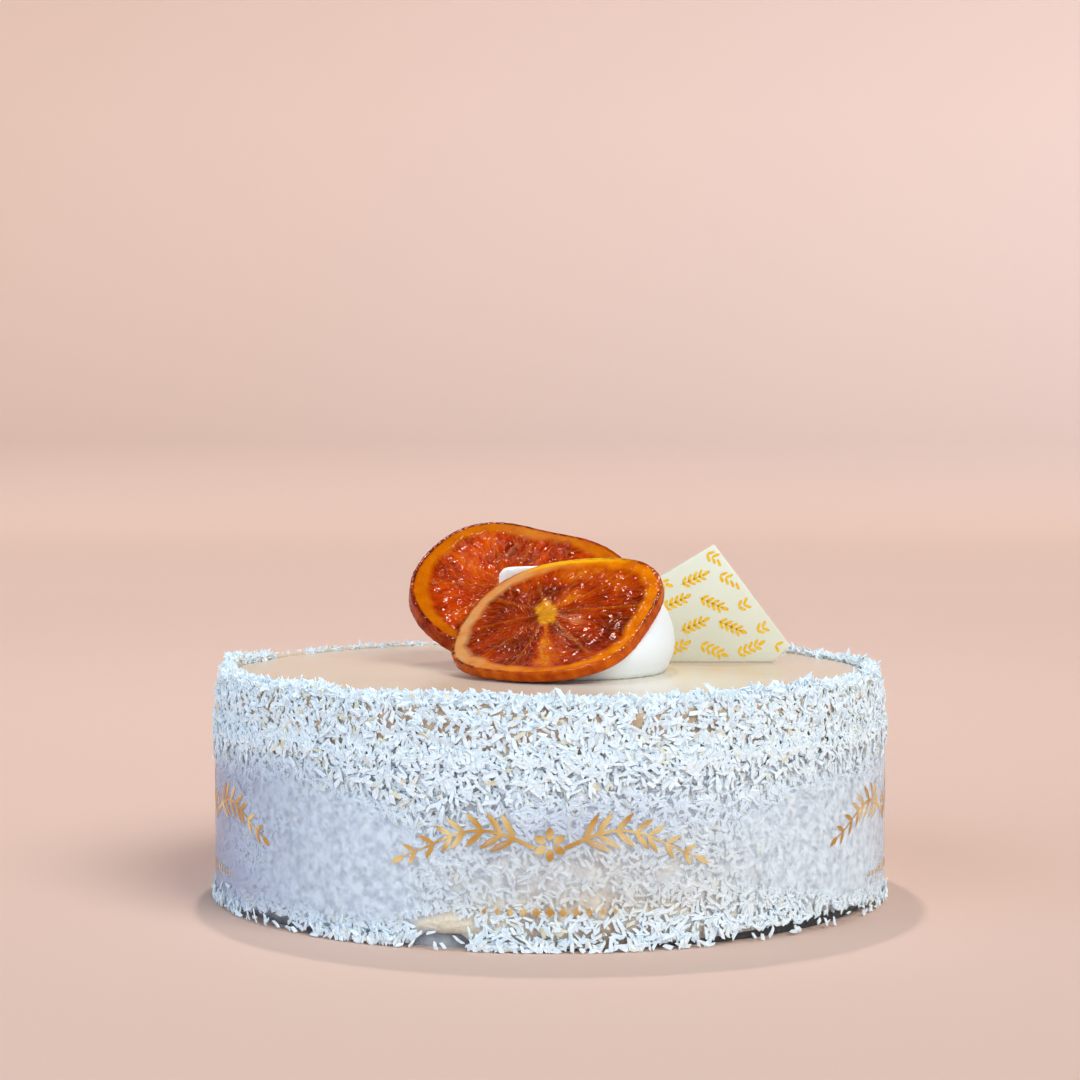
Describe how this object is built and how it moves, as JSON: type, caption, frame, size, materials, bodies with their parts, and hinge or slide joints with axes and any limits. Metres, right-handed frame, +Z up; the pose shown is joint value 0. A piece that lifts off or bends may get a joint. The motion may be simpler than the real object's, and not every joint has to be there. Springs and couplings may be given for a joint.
{
  "type": "almond orange cake",
  "caption": "Round glazed cake with a coconut-coated side in a clear collar, topped with candied orange slices, cream and a white chocolate plaque.",
  "frame": {"origin": "middle of the cake's underside, on the cake's upright axis, which is also the axis of the round collar", "axes": "+Z up, -Y towards the front, where the orange slices lean down, +X to the right, where the chocolate plaque stands"},
  "size_m": [0.2024, 0.2024, 0.1092],
  "materials": {
    "dark_base": "dark brown-black layer at the foot of the cake, matt",
    "coconut_coat": "white desiccated coconut flakes, matt, over a peach-cream glaze",
    "cream_glaze": "poured peach-cream glaze, smooth and softly glossy",
    "clear_film": "clear to milky acetate cake collar, glossy at a low angle",
    "candied_orange": "candied orange, amber rind and dark red-orange flesh, syrupy gloss",
    "whipped_cream": "smooth white cream, satin",
    "white_chocolate": "ivory white chocolate, satin, with a small golden pattern",
    "gold_print": "gold ink printed on the collar, metallic"
  },
  "bodies": {
    "root": {"base_layer": "dark_base", "cake_body": "coconut_coat", "top_glaze": "cream_glaze", "collar_film": "clear_film", "orange_slice_front": "candied_orange", "orange_slice_back": "candied_orange", "cream_dollop": "whipped_cream", "chocolate_plaque": "white_chocolate"}
  },
  "joints": []
}
